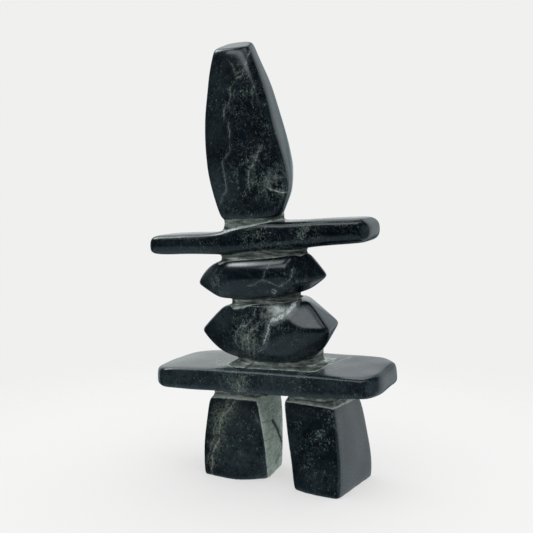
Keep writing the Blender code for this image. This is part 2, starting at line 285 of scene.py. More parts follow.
def neckField(neck, seed):
    # a rounded post of narrow upright cuts round a superellipse, each a little off in place and lean
    draw = np.random.default_rng(seed)
    sides = chiselling["sides"]
    turn = (np.arange(sides) + draw.uniform(-0.3, 0.3, sides)) * 2 * math.pi / sides
    cosine, sine = np.cos(turn), np.sin(turn)
    (halfX, halfY), (low, high), power = neck["half"], neck["z"], neck["square"]
    reach = (np.abs(cosine) ** power + np.abs(sine) ** power) ** (-1 / power)
    middleX, middleY = neck["middle"]
    foot = np.stack([middleX + halfX * reach * cosine, middleY + halfY * reach * sine,
                     np.full(sides, (low + high) / 2)], 1)
    out = np.stack([np.sign(cosine) * np.abs(cosine * reach) ** (power - 1) / halfX,
                    np.sign(sine) * np.abs(sine * reach) ** (power - 1) / halfY], 1)
    out /= np.linalg.norm(out, axis=1)[:, None]
    lean = neck["spread"] + draw.uniform(-1, 1, sides) * chiselling["tilt"] / halfY
    out = np.column_stack([out, lean])
    out /= np.linalg.norm(out, axis=1)[:, None]
    past = (out * foot).sum(1) + draw.uniform(-1, 1, sides) * chiselling["wander"]

    def field(points):
        above = points[:, 2] - high - neck.get("slope", 0.0) * (points[:, 0] - middleX)
        cuts = np.vstack([out @ points.T - past[:, None], low - points[:, 2], above])
        return softGreatest(cuts, chiselling["rub"])
    return field


stoneTables = {"head": head, "arms": arms, "chest": chest, "belly": belly, "hips": hips,
               "rightLeg": rightLeg, "leftLeg": leftLeg}
stoneFields = {"head": headField, "arms": armsField}
for name in ("chest", "belly", "hips", "rightLeg", "leftLeg"):
    stoneFields[name] = cutStone(stoneTables[name])
neckFields = {name: neckField(neck, seed) for seed, (name, neck) in enumerate(necks.items())}


def starSkin(field, centre, half, around=96, up=56, halvings=26):
    # A closed skin on a grid of directions (longitude, latitude): each goes out from the centre to
    # where the field is 0, found by halving, at most three times the half sizes away.
    longitude = np.arange(around) * 2 * math.pi / around
    latitude = np.linspace(-0.5, 0.5, up)[1:-1] * math.pi
    lat, lon = np.meshgrid(latitude, longitude, indexing="ij")
    aim = np.stack([np.cos(lat) * np.cos(lon), np.cos(lat) * np.sin(lon), np.sin(lat)], -1).reshape(-1, 3)
    aim = np.vstack([aim, [[0, 0, -1], [0, 0, 1]]]) * half
    near, far = np.zeros(len(aim)), np.full(len(aim), 3.0)
    for _ in range(halvings):
        middle = (near + far) / 2
        inside = field(centre + aim * middle[:, None]) < 0
        near, far = np.where(inside, middle, near), np.where(inside, far, middle)
    points = centre + aim * near[:, None]
    row = np.arange(up - 3)[:, None] * around
    one, two = np.arange(around), (np.arange(around) + 1) % around
    quads = np.stack([row + one, row + two, row + around + two, row + around + one], -1).reshape(-1, 4)
    last, south, north = (up - 3) * around, len(points) - 2, len(points) - 1
    caps = [(south, int(b), int(a)) for a, b in zip(one, two)]
    caps += [(north, last + int(a), last + int(b)) for a, b in zip(one, two)]
    return points, quads.tolist() + caps


def meshOf(name, points, faces):
    # an object at the origin whose place is in its points
    mesh = bpy.data.meshes.new(name)
    mesh.from_pydata(points, [], faces)
    made = bpy.data.objects.new(name, mesh)
    bpy.context.scene.collection.objects.link(made)
    return made


carving = {
    "voxel": 1.12,  # mm between the points of the finished skin
    "fillet": 0.9,  # how far the inner corners between stone and neck are rounded
    "swell": 0.22, "swellLength": 34.0,  # the polished faces' slow unevenness
    "toolDepth": 0.20, "toolLength": 2.6,  # file and burr marks in the undercuts
    "toolStretch": (0.28, 0.28, 1.0),  # which are longer along them
    "swellWaves": (24, 5), "toolWaves": (32, 6),  # how many waves, and the seed of their draw
    "toolFade": 1.5,  # mm over which the marks fade out into the polish
    "ledgeFade": 3.0,  # and over which a neck's ledge gives way to its plain collar
    "soleEdge": 0.25,  # how far up from the soles the stone is rough
    "settleRounds": 4, "settleStep": 1.5,  # and the longest move in a round
}
# Faces of the legs that were never polished: how far past its edges such a face goes, and for each
# leg the axis that the face looks along, which way, and how squarely.
unpolished = {
    "sawn": {"margin": 0.8, "faces": {"rightLeg": (0, 1, 0.85), "leftLeg": (0, -1, 0.85)}},
    "raw": {"margin": 0.3, "faces": {"rightLeg": (2, 1, 0.5), "leftLeg": (2, 1, 0.5)}},
}


def onFaces(points, kind):
    # the margin less the distance between the leg's surface and the planes of these faces
    best = np.full(len(points), -99.0)
    for name, (axis, side, squarely) in unpolished[kind]["faces"].items():
        normals, past = cutsThrough(stoneTables[name]["corners"])
        cuts = normals @ points.T - past[:, None]
        most, chosen = cuts.max(0), cuts[normals[:, axis] * side > squarely].max(0)
        onLeg = unpolished[kind]["margin"] - (most - chosen) - np.maximum(most - 1.5, 0)
        best = np.maximum(best, onLeg)
    return best


def roughness(points):
    # how far a point lies into the unpolished parts, in mm: under 0 on the polished faces
    depths = [onFaces(points, "sawn"), onFaces(points, "raw"), carving["soleEdge"] - points[:, 2]]
    for name, field in neckFields.items():
        below, above = (stoneFields[stone](points) for stone in necks[name]["between"])
        onBelow = np.clip((above - below) / carving["ledgeFade"] + 0.5, 0, 1)
        depths.append(necks[name]["collar"] + necks[name]["ledge"] * onBelow - field(points))
    return np.max(depths, 0)


def figureField(points):
    # the least of all the stones' and necks' fields, with its inner corners filleted
    stones = np.stack([field(points) for field in stoneFields.values()])
    posts = np.stack([field(points) for field in neckFields.values()])
    return softLeast(np.vstack([stones, posts]), carving["fillet"])


def detail(points, rough):
    # how far the skin stands out: the swell where rough is 0, the tool marks where it is 1
    swell = waves(points, carving["swellLength"], *carving["swellWaves"]) * carving["swell"]
    marks = waves(points * carving["toolStretch"], carving["toolLength"], *carving["toolWaves"])
    return swell * (1 - rough) + marks * carving["toolDepth"] * rough


def slopeOf(field, points, step=0.05):
    # the field's gradient, from four points round each (the corners of a small tetrahedron)
    corners = np.array([(1, 1, 1), (1, -1, -1), (-1, 1, -1), (-1, -1, 1)], float)
    return sum(corner * field(points + corner * step)[:, None] for corner in corners) / (4 * step)


def settle(points):
    # moves each point along the field's gradient until it lies on the carved surface, by Newton's
    # steps; the sawn faces take a fifth of the tool marks
    rough = np.clip(roughness(points) / carving["toolFade"] + 0.5, 0, 1)
    rough = rough * (1 - 0.8 * np.clip(onFaces(points, "sawn") + 0.5, 0, 1))

    def carved(at):
        return figureField(at) - detail(at, rough)
    for _ in range(carving["settleRounds"]):
        slope = slopeOf(carved, points)
        size = np.maximum((slope ** 2).sum(1), 0.05)
        step = np.clip(carved(points) / size, -carving["settleStep"], carving["settleStep"])
        points = points - slope * step[:, None]
    slope = slopeOf(carved, points, 0.2)
    return points, slope / np.linalg.norm(slope, axis=1)[:, None]


print("cutting the stones")
blanks = []
for name, field in stoneFields.items():
    table = stoneTables[name]
    blanks.append(starSkin(field, np.array(table["centre"]), np.array(table["half"])))
for name, field in neckFields.items():
    neck = necks[name]
    low, high = neck["z"]
    centre = np.array([*neck["middle"], (low + high) / 2])
    blanks.append(starSkin(field, centre, np.array([*neck["half"], (high - low) / 2])))
allPoints, allFaces = [], []
for points, faces in blanks:
    start = sum(len(part) for part in allPoints)
    allPoints.append(points)
    allFaces += [[index + start for index in face] for face in faces]
block = meshOf("block", np.vstack(allPoints), allFaces)

print("joining them in one rock")
join = block.modifiers.new("one rock", "REMESH")
join.mode = "VOXEL"
join.voxel_size = carving["voxel"]
joined = block.evaluated_get(bpy.context.evaluated_depsgraph_get()).to_mesh()
skin = np.empty(len(joined.vertices) * 3)
joined.vertices.foreach_get("co", skin)
skin = skin.reshape(-1, 3)
corners = np.empty(len(joined.loops), int)
joined.loops.foreach_get("vertex_index", corners)
counts = np.empty(len(joined.polygons), int)
joined.polygons.foreach_get("loop_total", counts)
faces = np.split(corners, np.cumsum(counts)[:-1])
bpy.data.objects.remove(block)

print("settling", len(skin), "points on the carved surface")
skin, outward = settle(skin)
outward[skin[:, 2] < 0.0] = (0.0, 0.0, -1.0)
skin[:, 2] = np.maximum(skin[:, 2], 0.0)
figure = meshOf("carvedStoneFigure", place(skin), [face.tolist() for face in faces])
figure.data.shade_smooth()
figure.data.normals_split_custom_set_from_vertices(outward)  # smoother at the arrises than the quads' own


def smooth(t):
    # 3 t^2 - 2 t^3, flat below 0 and above 1
    t = np.clip(t, 0, 1)
    return t * t * (3 - 2 * t)


def addMarks(name, kind, values):
    # a value at each of the figure's points, for the stone's nodes to read
    marks = figure.data.attributes.new(name, kind, "POINT")
    field = "value" if kind == "FLOAT" else "vector"
    marks.data.foreach_set(field, np.asarray(values, np.float32).ravel())


# Veins. Each follows a line through a few points of the plane it is drawn on: (x, z) for the front,
# (x, y) for the top of the hips, (y, z) for the right leg's sawn side. It shows within that plane's
# own depths, so it doesn't come out on the far side. A vein is (width in mm, strength, plane, route).
veins = {
    "veinsA": [
        (0.5, 0.3, "front", [(-17, 302), (-13, 291), (-15, 283), (-17, 279), (-22, 274), (-24, 271),
            (-24, 264), (-25, 260), (-27, 258), (-28, 252)]),
        (0.45, 0.28, "front", [(-24, 246), (-23, 232), (-24, 227), (-29, 221), (-28, 211), (-27, 206),
            (-28, 201), (-32, 194)]),
        (0.5, 0.8, "front", [(6, 203.5), (9, 202), (14, 201.5)]),
        (0.35, 0.3, "front", [(-9, 138), (-4, 140), (2, 143), (5, 143), (9, 141), (13, 139), (17, 141),
            (21, 143), (23, 146), (23, 150)]),
        (0.9, 0.7, "front", [(22, 127), (21, 122), (15, 118), (9, 115), (7, 111), (7, 107), (4, 101)]),
        (0.5, 0.3, "front", [(-9, 83), (-13, 74), (-11, 70), (-14, 63)]),
        (0.5, 0.34, "front", [(-22, 56), (-25, 49), (-32, 41), (-33, 31), (-34, 24), (-37, 17), (-39, 0)]),
    ],
    "veinsB": [
        (0.7, 0.3, "front", [(-1, 230), (-3, 226), (-5, 221), (-9, 214), (-10, 210), (-9, 204)]),
        (0.35, 0.34, "front", [(7, 155), (5, 150), (4, 145)]),
        (0.38, 0.34, "front", [(-5, 122), (-6, 116), (-7, 114), (-12, 110), (-17, 108), (-21, 104),
            (-22, 100), (-20, 96)]),
        (1.2, 0.12, "front", [(-7, 47), (-2, 39)]),
        (2.2, 1.0, "front", [(23, 127), (21, 122.5), (15, 118.5), (11, 116)]),
        (0.9, 0.34, "top", [(-28, -12), (-34, -7), (-42, -6), (-45, -1), (-44, 5), (-38, 8), (-31, 4),
            (-30, -3)]),
        (1.3, 0.55, "top", [(33, -23), (36, -14), (42, -3), (46, 10), (50, 20)]),
    ],
    "veinsC": [
        (0.4, 0.2, "front", [(-25, 287), (-21, 282), (-20, 279), (-16, 282)]),
        (0.4, 0.34, "front", [(-10, 106), (-10, 95), (-10, 86)]),
        (0.45, 0.28, "front", [(-1, 93), (3, 96), (6, 103), (9, 110), (14, 114)]),
        (0.4, 0.22, "front", [(-28, 58), (-30, 47), (-37, 36), (-38, 26), (-41, 14)]),
        (0.8, 0.3, "top", [(-20, -24), (-29, -19), (-37, -14), (-41, -8), (-39, 0), (-33, 2)]),
        (0.9, 0.26, "top", [(34, -24), (40, -21), (47, -16), (52, -9)]),
    ],
    "veinsD": [
        (0.5, 0.35, "front", [(9.9, 135.2), (8.8, 136.3), (7.6, 135.2), (8.7, 134.0), (9.8, 134.8)]),
        (0.35, 0.3, "front", [(-5, 101), (-5, 95), (-7, 84)]),
        (0.35, 0.28, "front", [(1, 120), (-1, 114), (-6, 107), (-14, 101), (-15, 93)]),
    ],
}
# an old crack in the hips' front, and slips of the saw, which are notches: none is cut, they are painted dark
# as painted shade inside a notch
notchShade = [
    (1.0, 0.9, "front", [(-9, 82.6), (-12, 79), (-13.5, 75.5)]),
    (2.4, 1.0, "inside", [(-1, 39), (5, 33), (12, 25), (20, 15)]),
    (1.8, 0.55, "inside", [(4, 7), (10, 9), (16, 13), (21, 16)]),
    (0.5, 0.8, "inside", [(9, 33), (15, 26), (21, 19)]),
    (0.6, 0.7, "inside", [(2, 14), (9, 15), (15, 18), (20, 22)]),
    (0.6, 0.5, "inside", [(-6, 50), (-5, 44), (-8, 40)]),
]
# a plane's two directions in (x, y, z), the one across it, and from where to where it reaches on that
planes = {"front": (0, 2, 1, -40.0, -5.0), "top": (0, 1, 2, 76.0, 90.0), "inside": (1, 2, 0, -8.0, 6.0)}


def alongRoute(across, up, route):
    # the signed distance to a smooth line through the route's points, over 0 on its left
    knots = np.arange(len(route))
    fine = np.linspace(0, len(route) - 1, 6 * (len(route) - 1) + 1)
    line = np.stack([through(fine, knots, route[:, 0]), through(fine, knots, route[:, 1])], 1)
    start, step = line[:-1], np.diff(line, axis=0)
    way = np.stack([across, up], 1)[:, None] - start
    t = np.clip((way * step).sum(2) / (step ** 2).sum(1), 0, 1)
    away = way - t[..., None] * step
    apart = np.linalg.norm(away, axis=2)
    nearest = apart.argmin(1)
    rows = np.arange(len(across))
    side = np.sign(step[nearest, 0] * way[rows, nearest, 1] - step[nearest, 1] * way[rows, nearest, 0])
    return apart[rows, nearest] * side


veinReach = {
    "away": 5.0, "awayFade": 2.0,  # mm from the line where a vein has faded out, and from where it fades
    "depthFade": 6.0,  # mm over which it comes and goes across its plane
    "aside": 7.0, "behind": 3.0,  # how far round the route's box and its plane's reach points are tried
}


def veinLayer(points, layer):
    # for each point (signed distance to the nearest vein, its strength, its width), in mm
    marks = np.tile((9.0, 0.0, 0.5), (len(points), 1))  # far from any vein
    aside, behind, fade = veinReach["aside"], veinReach["behind"], veinReach["depthFade"]
    for width, strength, plane, route in layer:
        one, two, third, low, high = planes[plane]
        across, up, depth = points[:, one], points[:, two], points[:, third]
        route = np.array(route, float)
        (left, bottom), (right, top) = route.min(0) - aside, route.max(0) + aside
        near = ((across > left) & (across < right) & (up > bottom) & (up < top)
                & (depth < high + behind) & (depth > low - behind))
        away = alongRoute(across[near], up[near], route)
        inside = smooth((high - depth[near]) / fade) * smooth((depth[near] - low) / fade + 1)
        shows = inside * smooth((veinReach["away"] - np.abs(away)) / veinReach["awayFade"])
        found = np.stack([away, shows * strength, np.full(len(away), width)], 1)
        rows = np.flatnonzero(near)
        closer = np.abs(away) < np.abs(marks[rows, 0])
        marks[rows[closer]] = found[closer]
    return marks


# Where the figuring gathers, as (x, y, z, radius, how much): pale specks, fine crackle, milky cloud,
# grey-blue haze and olive bloom.
figuring = {
    "specks": [
        (-15, -18, 268, 19, 0.9), (-22, -18, 284, 12, 0.5), (-36, -15, 262, 9, 0.6),
        (-4, -18, 240, 14, 0.8), (-8, -18, 214, 22, 1.0), (6, -14, 204, 15, 1.0), (-26, -16, 196, 14, 0.8),
        (-4, -18, 172, 15, 1.0), (31, -18, 176, 13, 1.0), (14, -18, 170, 12, 0.7),
        (-50, -18, 163, 26, 0.45), (55, -17, 178, 20, 0.5), (20, -22, 143, 12, 0.5),
        (-38, -13, 139, 12, 0.7), (24, -26, 109, 9, 1.0), (-10, -18, 104, 18, 0.9), (-50, -30, 70, 26, 0.4),
        (-12, -30, 73, 24, 0.9), (34, -30, 77, 20, 0.7), (70, -28, 77, 14, 0.5), (45, -21, 46, 20, 0.9),
        (42, -24, 20, 18, 0.6), (-20, -20, 26, 24, 0.6), (-36, -20, 30, 12, 0.8), (-20, 12, 250, 26, 0.6),
        (-10, 12, 205, 20, 0.8), (-30, 16, 165, 26, 0.6), (40, 15, 176, 22, 0.6), (-10, 26, 104, 22, 0.8),
        (20, 22, 140, 18, 0.6), (-40, 30, 70, 26, 0.6), (40, 30, 76, 24, 0.6), (-24, 22, 30, 24, 0.7),
        (44, 29, 30, 24, 0.6), (62, 0, 30, 24, 0.3),
    ],
    "crackle": [
        (8, -18, 208, 11, 1.0), (-6, -18, 222, 12, 0.5), (-10, -18, 104, 15, 0.9), (-38, -13, 139, 8, 0.6),
        (-4, -18, 172, 9, 0.6), (31, -18, 176, 8, 0.6), (-16, -18, 262, 12, 0.35), (-30, -14, 80, 9, 0.9),
        (-12, -30, 72, 10, 0.5), (-36, -20, 44, 10, 0.6), (-14, 12, 230, 16, 0.7), (-24, 26, 102, 14, 0.8),
        (40, 29, 34, 14, 0.6),
    ],
    "cloud": [
        (11, -21, 122, 9.0, 1.0), (16, -21, 118, 5.0, 0.8), (8, -18, 207, 9, 0.35), (33, -22, 139, 8, 0.35),
        (-28, -14, 80, 9, 0.5), (-9, -18, 101, 9, 0.35), (-38, -13, 139, 7, 0.3), (-6, 20, 110, 10, 0.6),
        (-30, 14, 215, 9, 0.3),
    ],
    "haze": [
        (-37, -18, 274, 15, 0.55), (-39, -18, 242, 18, 0.5), (-36, -18, 202, 18, 1.0),
        (-22, -16, 188, 12, 0.5), (-60, -30, 70, 30, 0.7), (-18, -30, 72, 26, 0.75), (18, -30, 74, 26, 0.8),
        (58, -30, 76, 24, 0.5), (-20, -20, 44, 24, 0.7), (-16, -22, 18, 20, 0.7), (44, -24, 12, 14, 0.4),
        (-44, -13, 138, 14, 0.8), (-36, -10, 112, 13, 0.75), (-20, -18, 116, 10, 0.4),
        (24, -20, 34, 8, 0.45), (-70, -17, 158, 26, 0.25), (-20, 14, 220, 30, 0.6), (0, 26, 104, 30, 0.5),
        (0, 30, 72, 40, 0.6),
    ],
    "bloom": [
        (-27, -18, 50, 6, 0.9), (-32, -18, 42, 6, 1.0), (-33, -19, 32, 5.5, 0.9), (-35, -20, 22, 5, 0.8),
        (-38, -20, 10, 5, 0.7), (-13, -30, 72, 5, 0.5), (-10, -18, 100, 9, 0.35), (-30, 22, 36, 8, 0.7),
        (-22, 14, 190, 8, 0.4),
    ],
}


def gathered(points, blots):
    # the greatest of the blots at each point: how much, times exp(-(distance / radius)^2)
    found = np.zeros(len(points))
    for x, y, z, radius, much in blots:
        away = ((points - (x, y, z)) ** 2).sum(1) / radius ** 2
        found = np.maximum(found, much * np.exp(-away))
    return found


# how much dust lies on the rough parts, by height
dusting = {"heights": (56, 60, 74, 82, 172, 180), "much": (1.6, 0.5, 0.2, 0.5, 0.0, 0.5)}

print("marking the veins and the figuring")
addMarks("undercut", "FLOAT", roughness(skin))
addMarks("sawn", "FLOAT", onFaces(skin, "sawn"))
addMarks("pale", "FLOAT", np.interp(skin[:, 2], dusting["heights"], dusting["much"]))
for name, layer in {**veins, "notchShade": notchShade}.items():
    addMarks(name, "FLOAT_VECTOR", veinLayer(skin, layer))
inLayers = np.stack([gathered(skin, figuring[kind]) for kind in ("specks", "crackle", "cloud")], 1)
addMarks("figuring", "FLOAT_VECTOR", inLayers)
for name in ("bloom", "haze"):
    addMarks(name, "FLOAT", gathered(skin, figuring[name]))


def connect(tree, node, inputs):
    # puts a number or a link in each named input
    for name, value in inputs.items():
        if isinstance(value, bpy.types.NodeSocket):
            tree.links.new(value, node.inputs[name])
        else:
            node.inputs[name].default_value = value
    return node


def put(tree, kind, inputs, **settings):
    # a new node with its settings and inputs
    made = tree.nodes.new("ShaderNode" + kind)
    for name, value in settings.items():
        setattr(made, name, value)
    return connect(tree, made, inputs)


def sums(tree, operation, *values):
    return put(tree, "Math", dict(enumerate(values)), operation=operation).outputs[0]


def vectors(tree, operation, *values):
    return put(tree, "VectorMath", dict(enumerate(values)), operation=operation).outputs


def swing(tree, value, much):
    # a value between 0 and 1, made one between -much / 2 and much / 2
    return sums(tree, "MULTIPLY_ADD", value, much, -much / 2)


def mapped(tree, points, **settings):
    inputs = {"Vector": points, **{name.title(): value for name, value in settings.items()}}
    return put(tree, "Mapping", inputs).outputs["Vector"]


def grain(tree, points, length, detail=2.0, rough=0.5):
    # noise whose features are about this many mm long, from 0 to 1
    inputs = {"Vector": points, "Scale": 1 / length, "Detail": detail, "Roughness": rough}
    return put(tree, "TexNoise", inputs).outputs["Fac"]


def softStep(tree, value, start, stop, low=0.0, high=1.0):
    # from low to high as the value goes from start to stop, eased at both ends
    inputs = {"Value": value, "From Min": start, "From Max": stop, "To Min": low, "To Max": high}
    return put(tree, "MapRange", inputs, interpolation_type="SMOOTHSTEP").outputs["Result"]


def over(tree, mask, under, top):
    # the top colour where the mask is 1, the under one where it is 0
    under, top = ((*value, 1.0) if isinstance(value, tuple) else value for value in (under, top))
    return put(tree, "Mix", {0: mask, 6: under, 7: top}, data_type="RGBA").outputs[2]


def newGroup(name, inputs, outputs):
    # a node group with these named sockets: the group, what it is given and what it finds
    group = bpy.data.node_groups.new(name, "ShaderNodeTree")
    for direction, sockets in (("INPUT", inputs), ("OUTPUT", outputs)):
        for socket, kind in sockets.items():
            group.interface.new_socket(socket, in_out=direction, socket_type="NodeSocket" + kind)
    given, found = group.nodes.new("NodeGroupInput"), group.nodes.new("NodeGroupOutput")
    return group, given.outputs, found.inputs


def grouped(tree, group, inputs):
    return put(tree, "Group", inputs, node_tree=group).outputs["Mask"]


def makeVeinLine():
    # Distance, strength and width come in as one mark. The line is 1 where the distance, moved by the
    # wander, is less than the width, with a faint halo five widths wide, and comes and goes along it.
    group, given, found = newGroup(
        "veinLine", {"Mark": "Vector", "Wander": "Float", "Breaks": "Float"}, {"Mask": "Float"})
    mark = put(group, "SeparateXYZ", {"Vector": given["Mark"]}).outputs
    away = sums(group, "ABSOLUTE", sums(group, "ADD", mark["X"], given["Wander"]))
    width = sums(group, "MULTIPLY", mark["Z"], sums(group, "MULTIPLY_ADD", given["Breaks"], 1.1, 0.45))
    line = softStep(group, away, sums(group, "MULTIPLY", width, 0.25), width, 1.0, 0.0)
    halo = softStep(group, away, 0.0, sums(group, "MULTIPLY", width, 5.0), 0.22, 0.0)
    shown = sums(group, "MULTIPLY", sums(group, "MAXIMUM", line, halo), mark["Y"])
    unbroken = softStep(group, given["Breaks"], 0.3, 0.5, 0.35, 1.0)
    group.links.new(sums(group, "MULTIPLY", shown, unbroken), found["Mask"])
    return group


def makeFlecks():
    # 1 where fine noise is over a threshold, which falls from Rare to Common as Zone goes from 0 to 1
    group, given, found = newGroup(
        "flecks", {"Points": "Vector", "Scale": "Float", "Zone": "Float", "Rare": "Float", "Common": "Float"},
        {"Mask": "Float"})
    inputs = {"Vector": given["Points"], "Scale": given["Scale"], "Detail": 5.0, "Roughness": 0.72}
    noise = put(group, "TexNoise", inputs).outputs["Fac"]
    inputs = {"Value": given["Zone"], "To Min": given["Rare"], "To Max": given["Common"]}
    threshold = put(group, "MapRange", inputs).outputs["Result"]
    past = sums(group, "SUBTRACT", noise, threshold)
    group.links.new(softStep(group, past, 0.0, 0.07), found["Mask"])
    return group


serpentine = {
    "deep": (0.0004, 0.0012, 0.0030), "slate": (0.0018, 0.0056, 0.0100),  # the polished ground
    "haze": (0.027, 0.041, 0.049), "pewter": (0.016, 0.031, 0.038),  # its haze, and its fine salting
    "moss": (0.050, 0.092, 0.074), "ash": (0.125, 0.165, 0.155),  # the flecks
    "frost": (0.50, 0.58, 0.56), "olive": (0.150, 0.180, 0.130),  # the veins and the bloom along them
    # dust also gives the painted highlight on the pale rim where the polish ends; soot also gives the painted
    # shade in the saw's notches and the crack
    "dustAndEdgeHighlight": (0.42, 0.50, 0.465), "dry": (0.050, 0.066, 0.060), "sootAndNotchShade": (0.004, 0.008, 0.010),  # rough parts
    "tooled": (0.150, 0.185, 0.165), "sawn": (0.460, 0.550, 0.500),
    # the lengths of grains and patches, in mm
    "mottles": (15, 2.6), "hazing": 4.5, "salting": 1.25, "patches": 10, "clouding": 5, "clumps": 8,
    "rags": 0.9, "blooming": 1.9, "crumbs": 1.0, "breaks": 3.2, "streaks": 1.9, "grit": 1.3, "sanding": 9,
    "bends": (7, 9.0),  # the wandering lines' bends: their length, and how far they go
    "wanders": (5.0, 4.4, 1.3, 1.6),  # the same for the veins, slow and fast
    "drawnOut": 0.62, "drawnTurn": 0.3,  # the finest flecks lie a little along one way in the rock
    # flecks: their size, the threshold where they are rare, and where they are common
    "small": (1.1, 0.62, 0.495), "large": (2.1, 0.68, 0.555), "mossy": (4.6, 0.64, 0.49),
    "cracks": ((8.5, 0.035), (3.2, 0.085)),  # hair cracks: the size of their cells, their share of it
    "polish": (0.08, 0.26), "dulled": 0.14, "matt": 0.58,  # roughness: from, range, on figuring, undercut
    "relief": 0.0006,  # in metres
    "ior": 1.55,
}


def flecked(tree, group, points, zone, kind):
    size, rare, common = serpentine[kind]
    inputs = {"Points": points, "Scale": 1 / size, "Zone": zone, "Rare": rare, "Common": common}
    return grouped(tree, group, inputs)


def stoneMaterial():
    material = bpy.data.materials.new("polishedSerpentine")
    material.use_nodes = True
    tree = material.node_tree
    where = put(tree, "TexCoord", {}).outputs["Object"]
    points = mapped(tree, where, scale=(1000, 1000, 1000))  # in mm
    marks = {name: put(tree, "Attribute", {}, attribute_name=name).outputs
             for name in ("undercut", "sawn", "pale", "figuring", "bloom", "haze", "notchShade", *veins)}
    gather = put(tree, "SeparateXYZ", {"Vector": marks["figuring"]["Vector"]}).outputs
    specks, crackle, cloud = gather["X"], gather["Y"], gather["Z"]

    # the ground: slow and fine mottling between two blacks, haze, and fine salting in patches
    slow, fine = serpentine["mottles"]
    slow, fine = grain(tree, points, slow, 5, 0.6), grain(tree, points, fine, 4, 0.65)
    ground = over(tree, softStep(tree, slow, 0.40, 0.62), serpentine["deep"], serpentine["slate"])
    ground = over(tree, softStep(tree, fine, 0.42, 0.66, 0.0, 0.8), ground, serpentine["slate"])
    hazy = softStep(tree, grain(tree, points, serpentine["hazing"], 5, 0.7), 0.30, 0.60, 0.35, 1.0)
    ground = over(tree, sums(tree, "MULTIPLY", hazy, marks["haze"]["Fac"]), ground, serpentine["haze"])
    turn, stretch = (0.0, serpentine["drawnTurn"], 0.0), (1.0, 1.0, serpentine["drawnOut"])
    drawnOut = mapped(tree, points, rotation=turn, scale=stretch)
    salted = softStep(tree, grain(tree, drawnOut, serpentine["salting"], 3, 0.7), 0.48, 0.67)
    patchy = softStep(tree, grain(tree, points, serpentine["patches"], 4, 0.62), 0.42, 0.62, 0.05, 0.80)
    ground = over(tree, sums(tree, "MULTIPLY", salted, patchy), ground, serpentine["pewter"])

    # points bent by slow noise, for lines that wander
    length, reach = serpentine["bends"]
    bend = put(tree, "TexNoise", {"Vector": points, "Scale": 1 / length, "Detail": 3.0, "Roughness": 0.6})
    bend = vectors(tree, "SUBTRACT", bend.outputs["Color"], (0.5, 0.5, 0.5))[0]
    bent = vectors(tree, "ADD", points, vectors(tree, "MULTIPLY", bend, (reach, reach, reach))[0])[0]
    breaks = grain(tree, points, serpentine["breaks"], 2, 0.5)

    # milky cloud
    thin = sums(tree, "MULTIPLY_ADD", cloud, -0.30, 0.52)
    milk = softStep(tree, grain(tree, bent, serpentine["clouding"], 6, 0.72), thin, 0.72)
    milk = sums(tree, "MULTIPLY", milk, sums(tree, "MULTIPLY_ADD", cloud, 1.0, 0.02))
    colour = over(tree, milk, ground, serpentine["frost"])

    # flecks in clumps: fine pale ones, a few larger, and mossy patches with their own grain
    flecks = makeFlecks()
    clumps = softStep(tree, grain(tree, points, serpentine["clumps"], 3, 0.6), 0.42, 0.60, 0.10, 1.05)
    zone = sums(tree, "MULTIPLY", specks, clumps)
    small = flecked(tree, flecks, drawnOut, zone, "small")
    large, mossy = (flecked(tree, flecks, bent, zone, kind) for kind in ("large", "mossy"))
    ragged = softStep(tree, grain(tree, points, serpentine["rags"], 3, 0.75), 0.40, 0.62)
    mossy = sums(tree, "MULTIPLY", mossy, ragged)
    for mask, much, tone in ((mossy, 0.8, "moss"), (small, 0.60, "ash"), (large, 0.85, "ash")):
        colour = over(tree, sums(tree, "MULTIPLY", mask, much), colour, serpentine[tone])

    # hair cracks: the borders of bent cells, coming and going, wide ones everywhere and a fine crackle
    shows = softStep(tree, breaks, 0.42, 0.62)
    often = sums(tree, "MULTIPLY_ADD", specks, 0.25, 0.05), sums(tree, "MULTIPLY", crackle, 1.3)
    for (length, thick), much in zip(serpentine["cracks"], often):
        cells = put(tree, "TexVoronoi", {"Vector": bent, "Scale": 1 / length}, feature="DISTANCE_TO_EDGE")
        hair = softStep(tree, cells.outputs["Distance"], 0.0, thick, 1.0, 0.0)
        hair = sums(tree, "MULTIPLY", sums(tree, "MULTIPLY", hair, shows), much)
        colour = over(tree, hair, colour, serpentine["ash"])

    # olive bloom, in mottled grains
    grains = softStep(tree, grain(tree, points, serpentine["blooming"], 4, 0.7), 0.40, 0.62)
    grains = sums(tree, "MULTIPLY", grains, sums(tree, "MULTIPLY", marks["bloom"]["Fac"], 0.85))
    colour = over(tree, grains, colour, serpentine["olive"])

    # the veins
    line = makeVeinLine()
    slowLength, slowReach, fastLength, fastReach = serpentine["wanders"]
    slowWander = swing(tree, grain(tree, points, slowLength, 2), slowReach)
    wander = sums(tree, "ADD", slowWander, swing(tree, grain(tree, points, fastLength, 3, 0.6), fastReach))
    veined = 0.0
    for name in veins:
        shown = grouped(tree, line, {"Mark": marks[name]["Vector"], "Wander": wander, "Breaks": breaks})
        veined = sums(tree, "MAXIMUM", veined, shown)
    crumbs = softStep(tree, grain(tree, points, serpentine["crumbs"], 3, 0.7), 0.36, 0.60, 0.25, 1.15)
    colour = over(tree, sums(tree, "MULTIPLY", veined, crumbs), colour, serpentine["frost"])

